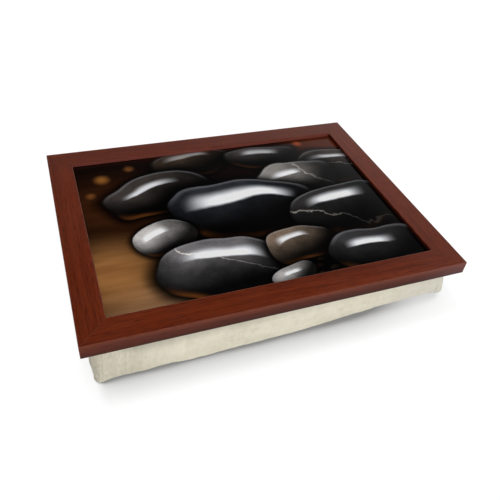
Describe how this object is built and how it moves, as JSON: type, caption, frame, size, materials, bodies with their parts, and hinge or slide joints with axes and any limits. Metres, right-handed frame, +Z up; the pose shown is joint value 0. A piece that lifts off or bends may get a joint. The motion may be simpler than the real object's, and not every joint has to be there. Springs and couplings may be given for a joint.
{
  "type": "lap tray",
  "caption": "Rectangular lap tray: a mitred wooden frame round a laminated picture panel, on a detachable fabric cushion filled with beads.",
  "frame": {"origin": "on the floor under the middle of the tray", "axes": "+X along the tray's long side, +Y from the user's side to the far side, +Z up"},
  "size_m": [0.44, 0.336, 0.066],
  "materials": {
    "frame_wood": "dark red-brown stain under satin lacquer",
    "laminate": "printed melamine laminate, semi-gloss",
    "hardboard": "raw pressed hardboard",
    "steel": "plain steel wire and strip",
    "hook_tape": "woven nylon hook tape",
    "loop_tape": "brushed nylon loop tape",
    "cotton": "plain-woven cream cotton",
    "bag_cloth": "thin white lining cloth"
  },
  "bodies": {
    "cushion": {"bead_bag": "bag_cloth", "cushion_bottom_panel": "cotton", "cushion_front_band": "cotton", "cushion_left_band": "cotton", "cushion_rear_band": "cotton", "cushion_right_band": "cotton", "cushion_top_panel": "cotton", "loop_strip_front": "loop_tape", "loop_strip_left": "loop_tape", "loop_strip_rear": "loop_tape", "loop_strip_right": "loop_tape"},
    "tray": {"board_point_front_1": "steel", "board_point_front_2": "steel", "board_point_front_3": "steel", "board_point_left_1": "steel", "board_point_left_2": "steel", "board_point_rear_1": "steel", "board_point_rear_2": "steel", "board_point_rear_3": "steel", "board_point_right_1": "steel", "board_point_right_2": "steel", "front_rail": "frame_wood", "hook_strip_front": "hook_tape", "hook_strip_left": "hook_tape", "hook_strip_rear": "hook_tape", "hook_strip_right": "hook_tape", "left_rail": "frame_wood", "print_sheet": "laminate", "rear_rail": "frame_wood", "right_rail": "frame_wood", "staple_front_1": "steel", "staple_front_2": "steel", "staple_front_3": "steel", "staple_front_4": "steel", "staple_left_1": "steel", "staple_left_2": "steel", "staple_rear_1": "steel", "staple_rear_2": "steel", "staple_rear_3": "steel", "staple_rear_4": "steel", "staple_right_1": "steel", "staple_right_2": "steel", "tray_board": "hardboard", "v_nail_front_left_inner": "steel", "v_nail_front_left_outer": "steel", "v_nail_front_right_inner": "steel", "v_nail_front_right_outer": "steel", "v_nail_rear_left_inner": "steel", "v_nail_rear_left_outer": "steel", "v_nail_rear_right_inner": "steel", "v_nail_rear_right_outer": "steel"}
  },
  "joints": [
    {"name": "tray_lift", "type": "slide", "parent": "cushion", "child": "tray", "axis": [0, 0, 1], "range_m": [0, 0.08]}
  ]
}
